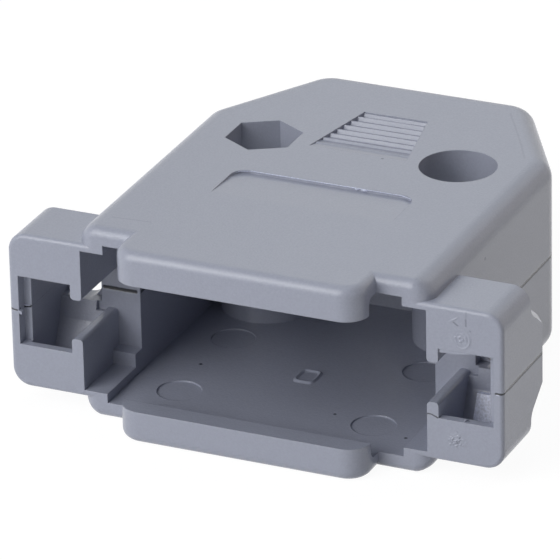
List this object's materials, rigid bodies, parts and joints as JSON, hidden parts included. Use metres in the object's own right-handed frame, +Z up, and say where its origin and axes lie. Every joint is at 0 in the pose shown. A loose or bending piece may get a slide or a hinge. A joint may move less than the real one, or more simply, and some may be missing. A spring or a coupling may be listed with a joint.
{
  "type": "d-sub connector hood",
  "caption": "Moulded hood for a D-sub connector: split shells with jackscrew ears, front lips, screw columns, finger grips and a rear cable exit.",
  "frame": {"origin": "bottom centre of the bounding box, on the surface that the lower shell lies on", "axes": "+X across the ears, +Y from the connector's mouth back to the cable exit, +Z up through the two shells"},
  "size_m": [0.0546, 0.0506, 0.0214],
  "materials": {
    "grey_plastic": "fine satin texture from the mould",
    "plated_steel": "zinc plated"
  },
  "bodies": {
    "root": {"upper_shell": "grey_plastic", "lower_shell": "grey_plastic", "right_screw": "plated_steel", "left_screw": "plated_steel", "left_nut": "plated_steel", "right_nut": "plated_steel"}
  },
  "joints": []
}
